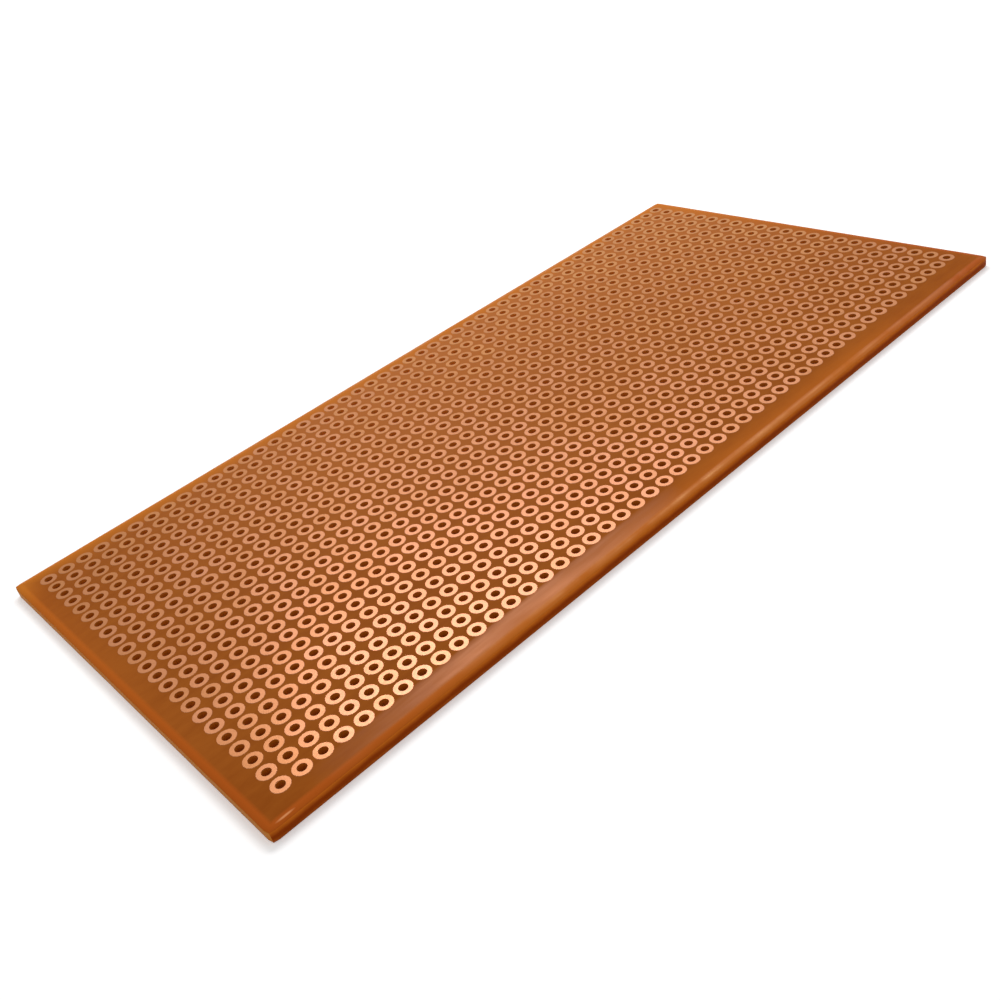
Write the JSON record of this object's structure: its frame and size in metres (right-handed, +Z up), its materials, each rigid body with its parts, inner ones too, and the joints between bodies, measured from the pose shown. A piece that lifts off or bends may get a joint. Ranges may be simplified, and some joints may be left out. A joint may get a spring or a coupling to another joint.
{
  "type": "prototype board",
  "caption": "Flat phenolic paper board for soldering circuits by hand, with a grid of lead holes, each ringed by a separate copper pad on the upper face.",
  "frame": {"origin": "middle of the under side, which is the face that the board lies on", "axes": "+X along the board's long edges, +Y across its width from the front edge to the back, +Z up out of the copper side"},
  "size_m": [0.126, 0.063, 0.0016],
  "materials": {
    "phenolic": "satin brown phenolic paper laminate, slightly translucent and orange at the edges",
    "copper": "bare etched copper foil under a thin clear flux lacquer, satin salmon colour"
  },
  "bodies": {
    "root": {"laminate": "phenolic", "copper_pads": "copper"}
  },
  "joints": []
}
